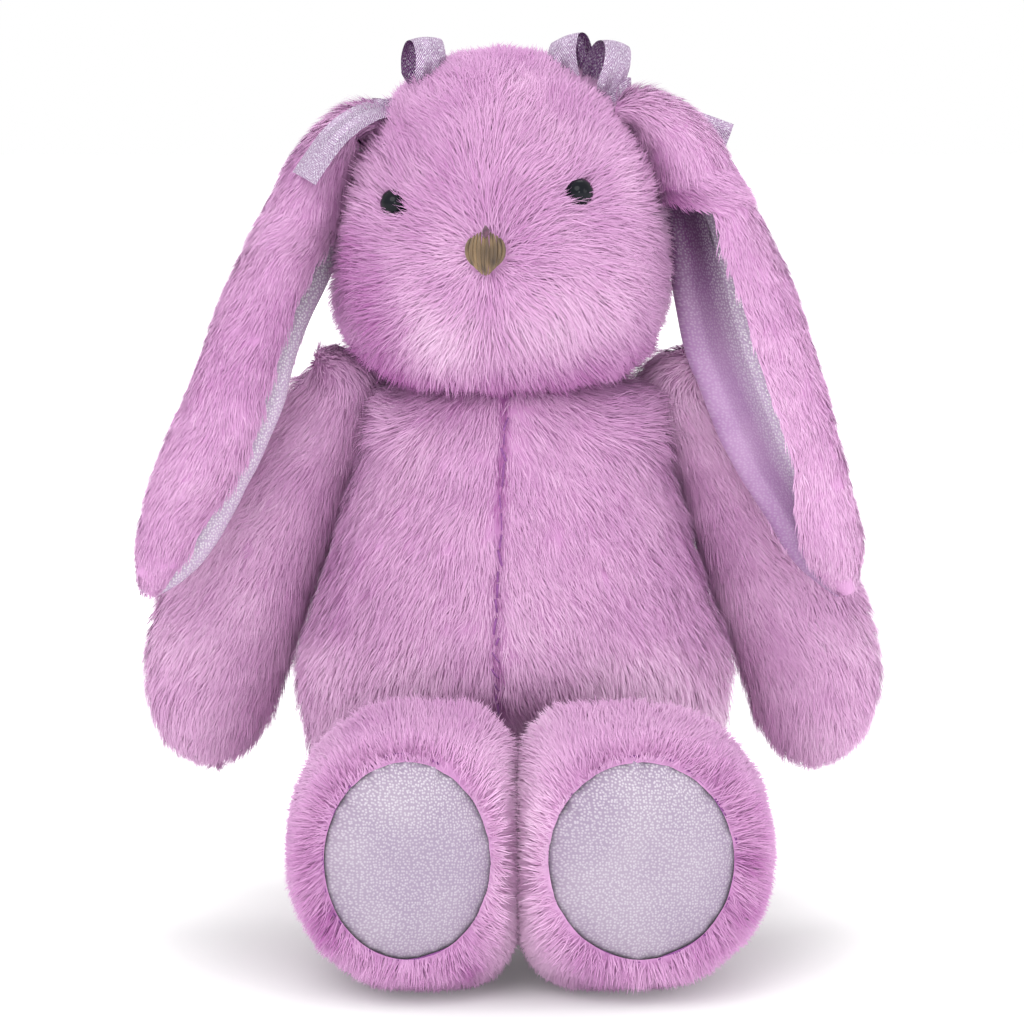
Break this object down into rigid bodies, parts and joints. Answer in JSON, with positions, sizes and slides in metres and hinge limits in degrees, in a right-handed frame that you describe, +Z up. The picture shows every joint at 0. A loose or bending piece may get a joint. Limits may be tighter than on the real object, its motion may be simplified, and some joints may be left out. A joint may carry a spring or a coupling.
{
  "type": "stuffed bunny rabbit",
  "caption": "Seated lop-eared plush bunny in lilac long-pile fur with foil-dot ear linings and sole pads, bead eyes and ribbon bows; head, ears, arms and legs flex.",
  "frame": {"origin": "centre of the flat seat, on the surface the toy sits on", "axes": "+Z up, -Y the way the bunny faces, +X towards its own left arm (the viewer's right)"},
  "size_m": [0.2258, 0.1808, 0.2715],
  "materials": {
    "fur": "long soft pile, brushed downward",
    "filling": "loose polyester fibre",
    "foil_fabric": "smooth knit with fine foil dots",
    "pouch_cloth": "plain woven bag of pellets",
    "ribbon": "metallic herringbone weave",
    "eye_bead": "polished black",
    "washer": "moulded",
    "nose_yarn": "satin-stitched yarn"
  },
  "bodies": {
    "torso": {"torso_front_left": "fur", "torso_front_right": "fur", "torso_back_left": "fur", "torso_back_right": "fur", "torso_stuffing": "filling", "pellet_pouch": "pouch_cloth", "tail": "fur"},
    "head": {"face_left": "fur", "face_right": "fur", "head_back_left": "fur", "head_back_right": "fur", "head_stuffing": "filling", "eye_left": "eye_bead", "eye_right": "eye_bead", "eye_washer_left": "washer", "eye_washer_right": "washer", "nose": "nose_yarn", "ribbon_bow_left": "ribbon", "ribbon_bow_right": "ribbon"},
    "left_ear": {"ear_fur_left": "fur", "ear_lining_left": "foil_fabric"},
    "right_ear": {"ear_fur_right": "fur", "ear_lining_right": "foil_fabric"},
    "left_arm": {"arm_left_front": "fur", "arm_left_back": "fur", "arm_left_stuffing": "filling"},
    "right_arm": {"arm_right_front": "fur", "arm_right_back": "fur", "arm_right_stuffing": "filling"},
    "left_leg": {"leg_left_outer": "fur", "leg_left_inner": "fur", "sole_pad_left": "foil_fabric", "leg_left_stuffing": "filling"},
    "right_leg": {"leg_right_outer": "fur", "leg_right_inner": "fur", "sole_pad_right": "foil_fabric", "leg_right_stuffing": "filling"}
  },
  "joints": [
    {"name": "head_nod", "type": "hinge", "parent": "torso", "child": "head", "pos_m": [0, 0, 0.13], "axis": [1, 0, 0], "range_deg": [-7, 7]},
    {"name": "left_ear_lift", "type": "hinge", "parent": "head", "child": "left_ear", "pos_m": [-0.0475, -0.004, 0.2435], "axis": [0, 1, 0], "range_deg": [0, 40], "deforming": ["ribbon_bow_left"]},
    {"name": "right_ear_lift", "type": "hinge", "parent": "head", "child": "right_ear", "pos_m": [0.0405, -0.004, 0.2475], "axis": [0, -1, 0], "range_deg": [0, 40], "deforming": ["ribbon_bow_right"]},
    {"name": "left_arm_raise", "type": "hinge", "parent": "torso", "child": "left_arm", "pos_m": [-0.051, 0.009, 0.164], "axis": [0, 1, 0], "range_deg": [0, 30]},
    {"name": "right_arm_raise", "type": "hinge", "parent": "torso", "child": "right_arm", "pos_m": [0.051, 0.009, 0.164], "axis": [0, -1, 0], "range_deg": [0, 30]},
    {"name": "left_leg_splay", "type": "hinge", "parent": "torso", "child": "left_leg", "pos_m": [-0.0325, -0.049, 0.03], "axis": [0, 0, -1], "range_deg": [0, 25]},
    {"name": "right_leg_splay", "type": "hinge", "parent": "torso", "child": "right_leg", "pos_m": [0.0325, -0.049, 0.03], "axis": [0, 0, 1], "range_deg": [0, 25]}
  ]
}
